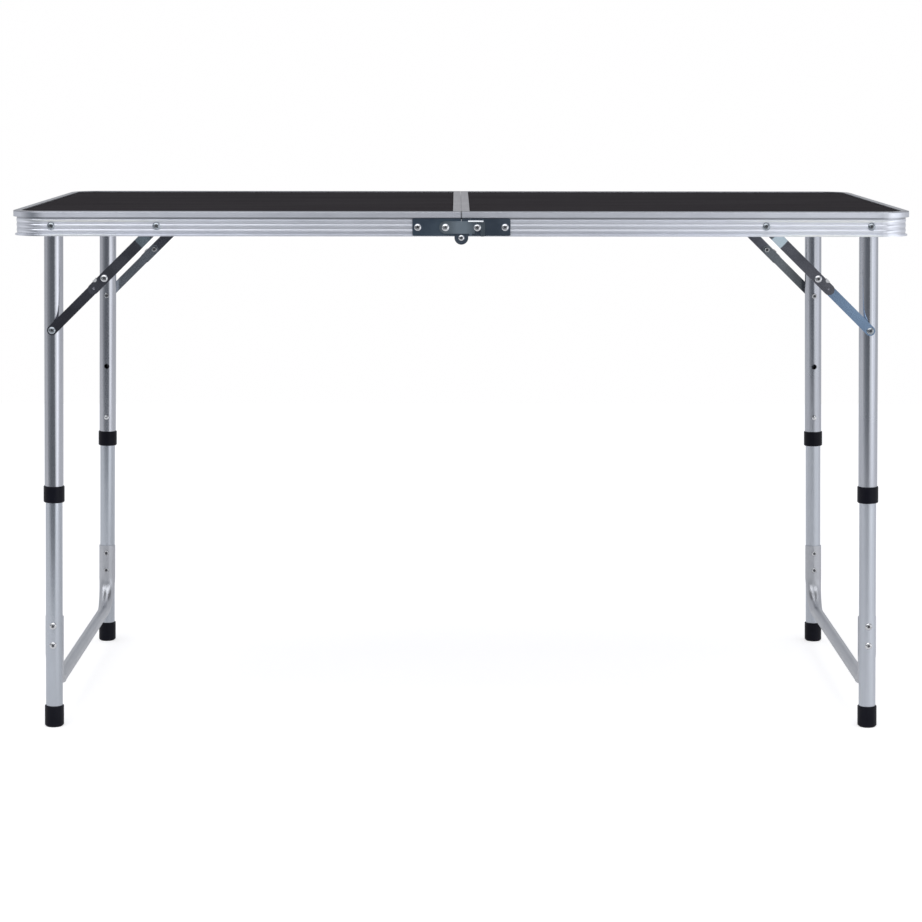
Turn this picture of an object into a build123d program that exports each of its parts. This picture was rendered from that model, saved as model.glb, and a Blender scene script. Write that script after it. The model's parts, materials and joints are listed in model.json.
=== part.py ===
from build123d import *
import os
from math import cos, degrees, hypot, radians, sin

# A folding table of two hinged halves on two telescoping leg frames.
# Millimetres. X runs along the table, Y from front to back, Z up from the floor.
# The left half is modelled, and the right half is the same set of pieces turned half round.

# Table top
table_length = 1200.0
table_depth = 600.0
table_height = 707.0
corner_radius = 40.0
joint_gap = 0.3

# Rim extrusion
rim_height = 33.0
lip_proud = 4.0
lip_height = 8.0
lip_round = 1.5
skin = 1.2
web_wall = 1.0
rib_rise = 0.5
rib_drops = (12.7, 19.5, 26.2)
rib_width = 5.0
toe_height = 2.0
toe_proud = 2.2
flange_width = 11.0
ledge_width = 5.0

# Panel and centre strip
panel_thickness = 3.0
panel_fit = 0.3
strip_width = 11.0
strip_wall = 1.5
strip_ledge = 14.0

# Fits
pin_fit = 0.05
face_gap = 0.1
clear_gap = 0.3

# Rivets
rivet_r = 2.5
pivot_r = 3.0
head_r = 5.0
head_rise = 1.5
tail_r = 4.0
tail_rise = 1.8
tail_bore_r = 1.5
tail_bore_depth = 3.0

# Legs
pivot_inset = 55.0
pivot_drop = 19.5
leg_splay = 1.2
upper_d = 25.4
lower_d = 22.8
tube_wall = 1.0
tube_top = 8.0
upper_length = 370.5
tube_overlap = 57.5
bush_r = 6.5
plug_depth = 8.0
plug_dome = 1.4
plug_edge = 2.5

# Collars and feet
collar_d = 28.4
collar_length = 22.5
collar_lip = 5.0
collar_edge = 1.0
guide_fit = 0.1
foot_d = 26.2
foot_height = 29.5
foot_sole = 4.0
foot_edge = 1.0
sole_edge = 2.2

# Spring buttons
button_lift = 40.0
hole_pitch = 80.0
button_d = 7.6
button_proud = 3.0
button_fit = 0.2
button_edge = 1.2
clip_strip = 0.8
clip_width = 7.0
clip_arm = 45.0
clip_reach = 9.2

# Crossbar
bar_d = 17.5
bar_height = 55.0
bend_radius = 46.0
saddle_top = 153.5
saddle_wall = 1.5
saddle_wrap = 76.0
saddle_rivets = (142.0, 115.0)
valley_dip = 2.4
seam_angle_high = 10.0
seam_angle_low = 35.0

# Knuckle braces
brace_arm = 140.0
link_thickness = 1.8
upper_link_width = 14.5
lower_link_width = 13.2
link_joggle = 4.2
joggle_start = 18.0
joggle_end = 35.0
link_overrun = 28.0
lug_past = 10.7
lug_length = 6.0
lug_thickness = 1.6
dimple_past = 19.5
dimple_r = 2.2
dimple_depth = 0.7
elbow_tail_rise = 2.0

# Centre hinge and latch
hinge_drop = 34.5
leaf_thickness = 1.5
leaf_reach = 65.0
leaf_top = 9.0
leaf_bottom = 32.0
leaf_corner = 2.0
lobe_r = 9.2
rivet_drop = 20.8
inner_rivet_x = 21.1
outer_rivet_x = 58.0
ear_joggle_start = 10.5
ear_joggle_end = 14.0
toe_notch = 66.0
hinge_head_r = 4.2
latch_thickness = 1.5
latch_half_height = 8.3
latch_end = 31.4
hook_drop = 12.0
slot_play_in = 0.3
slot_play_out = 1.4
slot_head_room = 0.3
latch_corner = 2.0
tab_start = 9.8
tab_end = 30.0
tab_proud = 4.5
tab_thickness = 1.2

# Places worked out from the sizes above
half_gap = joint_gap / 2
leg_x = table_length / 2 - pivot_inset
pivot_z = table_height - pivot_drop
floor_s = pivot_z / cos(radians(leg_splay))
web_inset = lip_proud + rib_rise + web_wall
web_inner_y = table_depth / 2 - web_inset
ledge_drop = skin + panel_thickness

upper_r = upper_d / 2
upper_bore_r = upper_r - tube_wall
lower_r = lower_d / 2
lower_bore_r = lower_r - tube_wall
lower_start = upper_length - tube_overlap
button_s = upper_length - button_lift

# Depths are measured inward from the inner face of the rim's web, so outside is negative
crest_depth = -(rib_rise + web_wall)
lip_depth = -web_inset
link_seat = clear_gap
link_end_back = link_seat + link_thickness
upper_link_face = link_seat + link_joggle
upper_link_back = upper_link_face + link_thickness
lower_link_face = upper_link_back + clear_gap
lower_link_back = lower_link_face + link_thickness
tube_face = lower_link_back + elbow_tail_rise + clear_gap
tube_depth = tube_face + upper_r
tube_back = tube_depth + upper_r
leg_y = tube_depth - web_inner_y

leaf_back = crest_depth - face_gap
leaf_face = leaf_back - leaf_thickness
ear_back = leaf_face - face_gap
ear_face = ear_back - leaf_thickness
latch_back = lip_depth - clear_gap
latch_face = latch_back - latch_thickness

# Spots on the front face, as (x, z)
leg_spot = (-leg_x, pivot_z)
brace_spot = (brace_arm - leg_x, pivot_z)
knee_spot = (
    -leg_x - brace_arm * sin(radians(leg_splay)),
    pivot_z - brace_arm * cos(radians(leg_splay)),
)
hinge_spot = (0, table_height - hinge_drop)
rivet_z = table_height - rivet_drop
latch_spot = (-inner_rivet_x, rivet_z)
stud_spot = (inner_rivet_x, rivet_z)

# The straight brace, from the rim to the leg
brace_run = (knee_spot[0] - brace_spot[0], knee_spot[1] - brace_spot[1])
brace_length = hypot(*brace_run)
brace_along = (brace_run[0] / brace_length, 0, brace_run[1] / brace_length)
brace_across = (-brace_along[2], 0, brace_along[0])
link_length = brace_length / 2


def front_plane(depth):
    """Upright plane on the front side at a depth, with its normal to the front."""
    return Plane.XZ.offset(web_inner_y - depth)


def leg_plane(drop):
    """Level plane across the front left leg, at a distance down from its pivot."""
    return Plane((-leg_x, leg_y, pivot_z - drop))


def drum(spot, outer, inner, radius, mode=Mode.ADD):
    """Round bar along Y at a spot, between two depths."""
    with BuildSketch(front_plane(inner)) as disc:
        with Locations(spot):
            Circle(radius)
    extrude(disc.sketch, amount=inner - outer, mode=mode)


def dome(spot, seat, radius, rise):
    """Domed rivet head standing out to the front from a depth."""
    seat_y = seat - web_inner_y
    with BuildSketch(Plane((spot[0], seat_y, spot[1]))) as half:
        with BuildLine():
            Line((0, 0), (0, -rise))
            TangentArc((0, -rise), (radius, 0), tangent=(1, 0))
            Line((radius, 0), (0, 0))
        make_face()
    revolve(half.sketch, axis=Axis((spot[0], seat_y, spot[1]), (0, 1, 0)))


def rivet(spot, head_seat, tail_seat, shank_r):
    """Rivet with a domed head outside and a spread tail inside, hollow at its end."""
    drum(spot, head_seat, tail_seat, shank_r)
    dome(spot, head_seat, head_r, head_rise)
    tail_end = tail_seat + tail_rise
    drum(spot, tail_seat, tail_end, tail_r)
    drum(spot, tail_end - tail_bore_depth, tail_end, tail_bore_r, mode=Mode.SUBTRACT)


def block(near, far, top, bottom, mode=Mode.ADD):
    """Rectangle of a section, between two insets and two drops below the table top."""
    with Locations(((near + far) / 2, (top + bottom) / 2)):
        Rectangle(far - near, bottom - top, mode=mode)


def lean(piece):
    """Turns an upright leg piece about the left leg pivots to the splay of the legs."""
    return piece.rotate(Axis((-leg_x, 0, pivot_z), (0, 1, 0)), leg_splay)


def opposite(piece):
    """The same piece on the other half, half a turn round the table's middle."""
    return piece.rotate(Axis.Z, 180)


def save(piece, name):
    """Labels one piece and writes it."""
    piece.label = name
    export_step(piece, f"parts/{name}.step")


def save_sides(piece, name):
    """Writes a left piece, and the right one that matches it."""
    save(piece, f"left_{name}")
    save(opposite(piece), f"right_{name}")


def save_corners(piece, name):
    """Writes a front left piece, and the ones that match it at the other three legs."""
    rear = piece.mirror(Plane.XZ)
    save(opposite(rear), f"right_front_{name}")
    save(opposite(piece), f"right_rear_{name}")
    save(piece, f"left_front_{name}")
    save(rear, f"left_rear_{name}")


os.makedirs("parts", exist_ok=True)

# Rim: one ribbed extrusion bent round two corners
rim_start = Plane(
    (-half_gap, -table_depth / 2, table_height), x_dir=(0, 1, 0), z_dir=(-1, 0, 0)
)
with BuildPart() as rim:
    with BuildLine(Plane.XY.offset(table_height)):
        FilletPolyline(
            (-half_gap, -table_depth / 2),
            (-table_length / 2, -table_depth / 2),
            (-table_length / 2, table_depth / 2),
            (-half_gap, table_depth / 2),
            radius=corner_radius,
        )
    with BuildSketch(rim_start) as rim_section:
        groove = lip_proud + rib_rise
        block(0, web_inset, 0, lip_height)
        fillet(rim_section.vertices().group_by(Axis.Y)[0], lip_round)
        block(skin, groove, skin, lip_height - skin, mode=Mode.SUBTRACT)
        block(groove, web_inset, lip_height, rim_height)
        block(lip_proud, flange_width, 0, skin)
        block(web_inset, web_inset + ledge_width, ledge_drop, ledge_drop + skin)
        block(lip_proud - toe_proud, groove, rim_height - toe_height, rim_height)
        for drop in rib_drops:
            with BuildLine():
                ThreePointArc(
                    (groove, drop - rib_width / 2),
                    (lip_proud, drop),
                    (groove, drop + rib_width / 2),
                )
                Line((groove, drop + rib_width / 2), (groove, drop - rib_width / 2))
            make_face()
    sweep()
    with BuildSketch(Plane.XZ.offset(table_depth / 2)):
        with Locations(leg_spot):
            Circle(pivot_r + pin_fit)
        with Locations(brace_spot, (-outer_rivet_x, rivet_z)):
            Circle(rivet_r + pin_fit)
        with Locations(latch_spot):
            Circle(pivot_r + pin_fit)
    extrude(amount=-table_depth, mode=Mode.SUBTRACT)
    with BuildSketch(rim_start):
        block(0, lip_proud, rim_height - toe_height, rim_height)
        block(table_depth - lip_proud, table_depth, rim_height - toe_height, rim_height)
    extrude(amount=toe_notch, mode=Mode.SUBTRACT)
save_sides(rim.part, "rim")

# Panel: a thin board held in the rim's groove
panel_inset = web_inset + panel_fit
panel_from = table_length / 2 - panel_inset
panel_to = half_gap + strip_wall + panel_fit
with BuildPart() as panel:
    with BuildSketch(Plane.XY.offset(table_height - skin)) as board:
        with Locations((-(panel_from + panel_to) / 2, 0)):
            Rectangle(panel_from - panel_to, table_depth - 2 * panel_inset)
        fillet(board.vertices().group_by(Axis.X)[0], corner_radius - panel_inset)
    extrude(amount=-panel_thickness)
save_sides(panel.part, "panel")

# Centre strip: a channel along the joint, cut back at its ends to butt on the rim
strip_plane = Plane((0, 0, table_height), x_dir=(-1, 0, 0), z_dir=(0, -1, 0))
with BuildPart() as centre_strip:
    with BuildSketch(strip_plane):
        block(half_gap, strip_width, 0, skin)
    extrude(amount=table_depth / 2 - flange_width, both=True)
    with BuildSketch(strip_plane):
        block(half_gap, half_gap + strip_wall, 0, ledge_drop + skin)
        block(half_gap, strip_ledge, ledge_drop, ledge_drop + skin)
    extrude(amount=table_depth / 2 - web_inset - ledge_width, both=True)
save_sides(centre_strip.part, "centre_strip")

# Leg pivots: long rivets through the web, a spacer bush and the tube
with BuildPart() as leg_pivot_rivets:
    rivet(leg_spot, crest_depth, tube_back + face_gap, pivot_r)
    mirror(about=Plane.XZ)
save_sides(leg_pivot_rivets.part, "leg_pivot_rivets")

with BuildPart() as leg_spacers:
    drum(leg_spot, 0, tube_face - face_gap, bush_r)
    drum(leg_spot, 0, tube_face, pivot_r + pin_fit, mode=Mode.SUBTRACT)
    mirror(about=Plane.XZ)
save_sides(leg_spacers.part, "leg_spacers")

with BuildPart() as brace_pivot_rivets:
    rivet(brace_spot, crest_depth, link_end_back + face_gap, rivet_r)
    mirror(about=Plane.XZ)
save_sides(brace_pivot_rivets.part, "brace_pivot_rivets")

# Upper leg tubes, with two height holes on their inner side
with BuildPart() as upper_tube:
    with BuildSketch(leg_plane(-tube_top)):
        Circle(upper_r)
        Circle(upper_bore_r, mode=Mode.SUBTRACT)
    extrude(amount=-(tube_top + upper_length))
    drum(leg_spot, tube_face, tube_back, pivot_r + pin_fit, mode=Mode.SUBTRACT)
    rivet_spot = (-leg_x, pivot_z - brace_arm)
    drum(rivet_spot, tube_face, tube_back, rivet_r + pin_fit, mode=Mode.SUBTRACT)
    for hole_s in (button_s, button_s - hole_pitch):
        hole_spot = (-leg_x, pivot_z - hole_s)
        hole_r = button_d / 2 + button_fit
        drum(hole_spot, tube_depth, tube_back, hole_r, mode=Mode.SUBTRACT)
save_corners(lean(upper_tube.part), "upper_tube")

# Plugs in the tops of the upper tubes, bored for the pivot rivets
with BuildPart() as tube_plug:
    with BuildSketch(leg_plane(plug_depth)):
        Circle(upper_bore_r - pin_fit)
    extrude(amount=plug_depth + tube_top + plug_dome)
    chamfer(tube_plug.edges().sort_by(Axis.Z)[-1], plug_dome, plug_edge)
    drum(leg_spot, tube_face, tube_back, pivot_r + pin_fit, mode=Mode.SUBTRACT)
with BuildPart() as tube_plugs:
    add(lean(tube_plug.part))
    mirror(about=Plane.XZ)
save_sides(tube_plugs.part, "tube_plugs")

# Collars: sleeves on the upper tubes whose lower lip guides the lower tubes
collar_end = upper_length + collar_lip
with BuildPart() as collar:
    with BuildSketch(leg_plane(collar_end)):
        Circle(collar_d / 2)
        Circle(lower_r + guide_fit, mode=Mode.SUBTRACT)
    extrude(amount=collar_length)
    with BuildSketch(leg_plane(upper_length)):
        Circle(upper_r + pin_fit)
    extrude(amount=collar_length, mode=Mode.SUBTRACT)
    outer_edges = collar.edges().filter_by(GeomType.CIRCLE).group_by(SortBy.RADIUS)[-1]
    chamfer(outer_edges, collar_edge)
save_corners(lean(collar.part), "collar")

# Brace rivets through the upper tubes, with a shoulder between link and tube
with BuildPart() as brace_rivet:
    rivet((-leg_x, pivot_z - brace_arm), lower_link_face - face_gap, tube_back + face_gap, rivet_r)
    drum(
        (-leg_x, pivot_z - brace_arm),
        lower_link_back + face_gap,
        tube_face - face_gap,
        head_r,
    )
with BuildPart() as brace_rivets:
    add(lean(brace_rivet.part))
    mirror(about=Plane.XZ)
save_sides(brace_rivets.part, "brace_rivets")

# Lower leg tubes
foot_seat = floor_s - foot_sole
rivet_drops = [floor_s - height for height in saddle_rivets]
with BuildPart() as lower_tube:
    with BuildSketch(leg_plane(lower_start)):
        Circle(lower_r)
        Circle(lower_bore_r, mode=Mode.SUBTRACT)
    extrude(amount=lower_start - foot_seat)
    button_spot = (-leg_x, pivot_z - button_s)
    button_hole_r = button_d / 2 + button_fit
    drum(button_spot, tube_depth, tube_back, button_hole_r, mode=Mode.SUBTRACT)
    for drop in rivet_drops:
        drum((-leg_x, pivot_z - drop), tube_face, tube_back, rivet_r + pin_fit, mode=Mode.SUBTRACT)
save_corners(lean(lower_tube.part), "lower_tube")

# Feet: cups on the lower tubes, cut level with the floor
with BuildPart() as upright_foot:
    with BuildSketch(leg_plane(floor_s + foot_sole)):
        Circle(foot_d / 2)
    extrude(amount=foot_height + foot_sole)
    chamfer(upright_foot.edges().sort_by(Axis.Z)[-1], foot_edge)
    with BuildSketch(leg_plane(foot_seat)):
        Circle(lower_r + pin_fit)
    extrude(amount=foot_height, mode=Mode.SUBTRACT)
with BuildPart() as foot:
    add(lean(upright_foot.part))
    split(bisect_by=Plane.XY)
    sole = foot.faces().sort_by(Axis.Z)[0]
    chamfer(sole.edges(), sole_edge)
save_corners(foot.part, "foot")

# Crossbar: a round tube whose ends are bent up and pressed round the legs
saddle_inner_r = lower_r + pin_fit
saddle_outer_r = saddle_inner_r + saddle_wall
saddle_middle_r = (saddle_inner_r + saddle_outer_r) / 2
saddle_rough_r = saddle_inner_r - saddle_wall / 2
bar_z = pivot_z - floor_s + bar_height
bend_z = bar_z + bend_radius
bend_y = leg_y + saddle_middle_r + bend_radius


def arc_point(radius, angle, middle=0.0):
    """Point of a section at an angle from its crown, on a circle centred below the middle."""
    return Vector(radius * sin(radians(angle)), radius * cos(radians(angle)) - middle)


def bow(start, via, end):
    """Bowed edge from one point to another, through a point at its middle."""
    Bezier(start, via * 2 - (start + end) / 2, end)


def bar_section(share, dip):
    """Bar section at a share of the bend: a saddle at 0 and a round bar at 1."""
    tip_angle = saddle_wrap + degrees(saddle_wall / 4 / saddle_middle_r)
    pressed = (
        arc_point(saddle_outer_r, saddle_wrap / 2, saddle_middle_r),
        arc_point(saddle_outer_r, saddle_wrap, saddle_middle_r),
        arc_point(saddle_middle_r, tip_angle, saddle_middle_r),
        arc_point(saddle_rough_r, saddle_wrap, saddle_middle_r),
        arc_point(saddle_rough_r, saddle_wrap / 2, saddle_middle_r),
        arc_point(saddle_rough_r, 0, saddle_middle_r),
        arc_point(saddle_outer_r, 0, saddle_middle_r),
    )
    bar_r = bar_d / 2
    seam = (90 + seam_angle_high, 90 + (seam_angle_high + seam_angle_low) / 2, 90 + seam_angle_low)
    whole = (
        arc_point(bar_r, seam[0] / 2),
        arc_point(bar_r, seam[0]),
        arc_point(bar_r, seam[1]),
        arc_point(bar_r, seam[2]),
        arc_point(bar_r, (seam[2] + 180) / 2),
        arc_point(bar_r, 180),
        arc_point(bar_r, 0),
    )
    hump, outer, side, inner, flank, hollow, crown = [
        a * (1 - share) + b * share for a, b in zip(pressed, whole)
    ]
    crown -= Vector(0, dip)

    def left(point):
        return Vector(-point.X, point.Y)

    turn = radians(90 * share)
    section_plane = Plane(
        (-leg_x, bend_y - bend_radius * cos(turn), bend_z - bend_radius * sin(turn)),
        x_dir=(-1, 0, 0),
        z_dir=(0, sin(turn), -cos(turn)),
    )
    with BuildSketch(section_plane) as section:
        with BuildLine():
            bow(left(outer), left(hump), crown)
            bow(crown, hump, outer)
            bow(outer, side, inner)
            bow(inner, flank, hollow)
            bow(hollow, left(flank), left(inner))
            bow(left(inner), left(side), left(outer))
        make_face()
    return section.sketch


with BuildPart() as upright_crossbar:
    extrude(bar_section(0, 0), amount=bar_z + bend_radius - (pivot_z - floor_s + saddle_top))
    loft(
        [
            bar_section(0, 0),
            bar_section(1 / 3, valley_dip),
            bar_section(2 / 3, valley_dip / 2),
            bar_section(1, 0),
        ]
    )
    extrude(bar_section(1, 0), amount=-bend_y)
    with BuildSketch(leg_plane(floor_s - saddle_top)):
        Circle(saddle_inner_r)
    extrude(amount=-saddle_top, mode=Mode.SUBTRACT)
    for drop in rivet_drops:
        spot = (-leg_x, pivot_z - drop)
        drum(spot, tube_depth, tube_back + saddle_wall, rivet_r + pin_fit, mode=Mode.SUBTRACT)
    mirror(about=Plane.XZ)
crossbar = lean(upright_crossbar.part)
save_sides(crossbar, "crossbar")

with BuildPart() as upright_bar_rivets:
    for drop in rivet_drops:
        spot = (-leg_x, pivot_z - drop)
        rivet(spot, tube_depth - lower_r - face_gap, tube_depth + saddle_outer_r + face_gap, rivet_r)
    mirror(about=Plane.XZ)
save_sides(lean(upright_bar_rivets.part), "crossbar_rivets")

# Spring clips: a bent strip in each lower tube with a button through both walls
with BuildPart() as clip:
    with BuildSketch(Plane((-leg_x, leg_y, pivot_z - button_s), x_dir=(0, 1, 0), z_dir=(1, 0, 0))):
        with BuildLine():
            Polyline(
                (clip_reach, button_d),
                (clip_reach, -button_d),
                (0, -clip_arm),
                (-clip_reach, button_d),
            )
        trace(line_width=clip_strip)
    extrude(amount=clip_width / 2, both=True)
    button_front = tube_depth + clip_reach
    drum((-leg_x, pivot_z - button_s), button_front, tube_back + button_proud, button_d / 2)
    chamfer(clip.edges().filter_by(GeomType.CIRCLE).sort_by(Axis.Y)[-1], button_edge)
save_corners(lean(clip.part), "spring_clip")

# Brace links: the upper one is joggled at the rim and runs past the elbow to a stop lug
brace_y = -web_inner_y
joggle_plane = Plane((brace_spot[0], brace_y, brace_spot[1]), x_dir=brace_along, z_dir=brace_across)
outline_plane = Plane((brace_spot[0], brace_y, brace_spot[1]), x_dir=brace_along, z_dir=(0, -1, 0))
overrun_centre = link_length + link_overrun - upper_link_width / 2
with BuildPart() as upper_links:
    with BuildSketch(joggle_plane):
        with BuildLine():
            Polyline(
                (-upper_link_width, link_seat),
                (joggle_start, link_seat),
                (joggle_end, upper_link_face),
                (link_length + link_overrun, upper_link_face),
                (link_length + link_overrun, upper_link_back),
                (joggle_end, upper_link_back),
                (joggle_start, link_end_back),
                (-upper_link_width, link_end_back),
                close=True,
            )
        make_face()
    extrude(amount=upper_link_width / 2, both=True)
    with BuildSketch(outline_plane):
        with Locations((overrun_centre / 2, 0)):
            SlotCenterToCenter(overrun_centre, upper_link_width)
        with Locations((0, 0), (link_length, 0)):
            Circle(rivet_r + pin_fit, mode=Mode.SUBTRACT)
    extrude(amount=-upper_link_back, mode=Mode.INTERSECT)
    with BuildSketch(outline_plane.offset(-upper_link_face)):
        with Locations((link_length + lug_past, -(lower_link_width + lug_thickness) / 2 - face_gap)):
            Rectangle(lug_length, lug_thickness)
    extrude(amount=upper_link_face - lower_link_back)
    with Locations(outline_plane.offset(dimple_r - dimple_depth - upper_link_face)):
        with Locations((link_length + dimple_past, 0)):
            Sphere(dimple_r, mode=Mode.SUBTRACT)
    mirror(about=Plane.XZ)
save_sides(upper_links.part, "upper_links")

with BuildPart() as lower_links:
    with BuildSketch(outline_plane.offset(-lower_link_back)):
        with Locations((link_length * 1.5, 0)):
            SlotCenterToCenter(link_length, lower_link_width)
        with Locations((link_length, 0), (brace_length, 0)):
            Circle(rivet_r + pin_fit, mode=Mode.SUBTRACT)
    extrude(amount=link_thickness)
    mirror(about=Plane.XZ)
save_sides(lower_links.part, "lower_links")

# Elbow rivets, parted between the two links, where the linkage is open
elbow_spot = ((brace_spot[0] + knee_spot[0]) / 2, (brace_spot[1] + knee_spot[1]) / 2)
elbow_parting = (upper_link_back + lower_link_face) / 2
with BuildPart() as elbow_rivets:
    dome(elbow_spot, upper_link_face, head_r, head_rise)
    drum(elbow_spot, upper_link_face, elbow_parting - face_gap / 2, rivet_r)
    mirror(about=Plane.XZ)
save_sides(elbow_rivets.part, "elbow_rivets")

with BuildPart() as elbow_tails:
    drum(elbow_spot, elbow_parting + face_gap / 2, lower_link_back, rivet_r)
    drum(elbow_spot, lower_link_back, lower_link_back + elbow_tail_rise, tail_r)
    mirror(about=Plane.XZ)
save_sides(elbow_tails.part, "elbow_tails")

# Hinge leaves: a flat one on the left of the front, and a joggled one on the right
leaf_height = leaf_bottom - leaf_top
leaf_middle_z = table_height - (leaf_top + leaf_bottom) / 2
leaf_width = leaf_reach - half_gap
leaf_middle_x = (leaf_reach + half_gap) / 2


def leaf_outline(side, inner_hole_r):
    """Leaf seen from the front: a plate with a round lobe at the hinge pin."""
    with Locations((side * leaf_middle_x, leaf_middle_z)):
        RectangleRounded(leaf_width, leaf_height, leaf_corner)
    with Locations(hinge_spot):
        Circle(lobe_r)
        Circle(pivot_r + pin_fit, mode=Mode.SUBTRACT)
    with Locations((side * outer_rivet_x, rivet_z)):
        Circle(rivet_r + pin_fit, mode=Mode.SUBTRACT)
    with Locations((side * inner_rivet_x, rivet_z)):
        Circle(inner_hole_r, mode=Mode.SUBTRACT)


with BuildPart() as flat_leaf:
    with BuildSketch(front_plane(leaf_back)):
        leaf_outline(-1, pivot_r + pin_fit)
    extrude(amount=leaf_thickness)
save(flat_leaf.part, "left_front_hinge_leaf")
save(opposite(flat_leaf.part), "right_rear_hinge_leaf")

with BuildPart() as joggled_leaf:
    with BuildSketch(Plane((0, -web_inner_y, table_height))):
        with BuildLine():
            Polyline(
                (-lobe_r, ear_face),
                (ear_joggle_start, ear_face),
                (ear_joggle_end, leaf_face),
                (leaf_reach, leaf_face),
                (leaf_reach, leaf_back),
                (ear_joggle_end, leaf_back),
                (ear_joggle_start, ear_back),
                (-lobe_r, ear_back),
                close=True,
            )
        make_face()
    extrude(amount=-(hinge_drop + lobe_r))
    with BuildSketch(front_plane(0)):
        leaf_outline(1, pivot_r + pin_fit)
    extrude(amount=-ear_face, mode=Mode.INTERSECT)
save(joggled_leaf.part, "right_front_hinge_leaf")
save(opposite(joggled_leaf.part), "left_rear_hinge_leaf")

# Hinge rivets: plain outer ones, the latch's shouldered pivot and the stud that it hooks over
latch_head_seat = latch_face - face_gap
with BuildPart() as latch_side_rivets:
    rivet((-outer_rivet_x, rivet_z), leaf_face, 0, rivet_r)
    rivet(latch_spot, latch_head_seat, 0, pivot_r)
    drum(latch_spot, latch_back + face_gap, leaf_face, head_r)
with BuildPart() as stud_side_rivets:
    rivet((outer_rivet_x, rivet_z), leaf_face, 0, rivet_r)
    rivet(stud_spot, latch_head_seat, 0, pivot_r)
with BuildPart() as hinge_rivets:
    add(latch_side_rivets.part)
    add(opposite(stud_side_rivets.part))
save_sides(hinge_rivets.part, "hinge_rivets")

with BuildPart() as hinge_pin:
    drum(hinge_spot, ear_face - face_gap, leaf_back, pivot_r)
    dome(hinge_spot, ear_face - face_gap, hinge_head_r, head_rise)
save(hinge_pin.part, "front_hinge_pin")
save(opposite(hinge_pin.part), "rear_hinge_pin")

# Latch: a hook with a lifting tab, its slot open below so that it lifts off the stud
slot_left = inner_rivet_x - pivot_r - slot_play_in
slot_right = inner_rivet_x + pivot_r + slot_play_out
slot_top = rivet_z + pivot_r + slot_head_room
latch_low = rivet_z - latch_half_height
latch_high = rivet_z + latch_half_height
with BuildPart() as latch:
    with BuildSketch(front_plane(latch_back)) as hook:
        with Locations(latch_spot):
            Circle(latch_half_height)
        with Locations(((latch_end - inner_rivet_x) / 2, rivet_z)):
            Rectangle(latch_end + inner_rivet_x, 2 * latch_half_height)
        with Locations(((slot_right + latch_end) / 2, rivet_z - hook_drop / 2)):
            Rectangle(latch_end - slot_right, hook_drop)
        with Locations(((slot_left + slot_right) / 2, (latch_low + slot_top) / 2)):
            Rectangle(slot_right - slot_left, slot_top - latch_low, mode=Mode.SUBTRACT)
        fillet(hook.vertices().group_by(Axis.X)[-1], min(latch_corner, (latch_end - slot_right) / 3))
        with Locations(latch_spot):
            Circle(pivot_r + pin_fit, mode=Mode.SUBTRACT)
    extrude(amount=latch_thickness)
    with BuildSketch(front_plane(latch_face)):
        with Locations(((tab_start + tab_end) / 2 - latch_corner, latch_high - tab_thickness / 2)):
            Rectangle(tab_end - tab_start, tab_thickness)
    extrude(amount=tab_proud)
save(latch.part, "front_latch")
save(opposite(latch.part), "rear_latch")
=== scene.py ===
import json
import math

import bpy
from mathutils import Matrix, Vector


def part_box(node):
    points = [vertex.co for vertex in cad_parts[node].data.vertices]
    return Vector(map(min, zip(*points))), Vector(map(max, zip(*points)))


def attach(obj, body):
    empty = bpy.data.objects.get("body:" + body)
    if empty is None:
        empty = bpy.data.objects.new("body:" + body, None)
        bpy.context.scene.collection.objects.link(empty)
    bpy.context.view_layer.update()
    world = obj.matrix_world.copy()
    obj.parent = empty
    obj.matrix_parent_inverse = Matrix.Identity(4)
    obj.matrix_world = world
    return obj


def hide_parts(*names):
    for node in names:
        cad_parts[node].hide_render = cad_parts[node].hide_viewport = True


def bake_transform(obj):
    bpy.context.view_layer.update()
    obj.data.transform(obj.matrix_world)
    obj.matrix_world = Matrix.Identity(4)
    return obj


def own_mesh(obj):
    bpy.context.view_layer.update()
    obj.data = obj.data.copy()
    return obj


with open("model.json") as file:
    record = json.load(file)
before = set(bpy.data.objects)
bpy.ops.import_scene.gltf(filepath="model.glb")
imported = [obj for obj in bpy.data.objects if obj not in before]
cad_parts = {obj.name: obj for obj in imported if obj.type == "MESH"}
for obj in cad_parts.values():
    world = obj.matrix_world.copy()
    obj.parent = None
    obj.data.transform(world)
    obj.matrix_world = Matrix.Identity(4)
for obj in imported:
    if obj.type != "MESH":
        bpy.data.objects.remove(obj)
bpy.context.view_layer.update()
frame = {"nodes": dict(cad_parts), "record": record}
nodes = frame["nodes"]
scene = bpy.context.scene
scene.view_settings.view_transform = "Standard"


def new_finish(name):
    """New material, its node tree and its Principled shader."""
    material = bpy.data.materials.new(name)
    material.use_nodes = True
    tree = material.node_tree
    shader = tree.nodes["Principled BSDF"]
    return material, tree, shader


def object_coords(tree, scale, turn=(0, 0, 0)):
    """Object coordinates stretched along each axis, for streaks and grain."""
    coords = tree.nodes.new("ShaderNodeTexCoord")
    mapping = tree.nodes.new("ShaderNodeMapping")
    mapping.inputs["Scale"].default_value = scale
    mapping.inputs["Rotation"].default_value = turn
    tree.links.new(coords.outputs["Object"], mapping.inputs["Vector"])
    return mapping.outputs["Vector"]


def noise(tree, vector, scale, detail=3.0, roughness=0.55):
    texture = tree.nodes.new("ShaderNodeTexNoise")
    texture.inputs["Scale"].default_value = scale
    texture.inputs["Detail"].default_value = detail
    texture.inputs["Roughness"].default_value = roughness
    tree.links.new(vector, texture.inputs["Vector"])
    return texture.outputs["Fac"]


def spread(tree, value, low, high, start=0.3, end=0.7):
    """Maps a texture's middle range onto a number's range."""
    ramp = tree.nodes.new("ShaderNodeMapRange")
    ramp.inputs["From Min"].default_value = start
    ramp.inputs["From Max"].default_value = end
    ramp.inputs["To Min"].default_value = low
    ramp.inputs["To Max"].default_value = high
    tree.links.new(value, ramp.inputs["Value"])
    return ramp.outputs["Result"]


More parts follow.
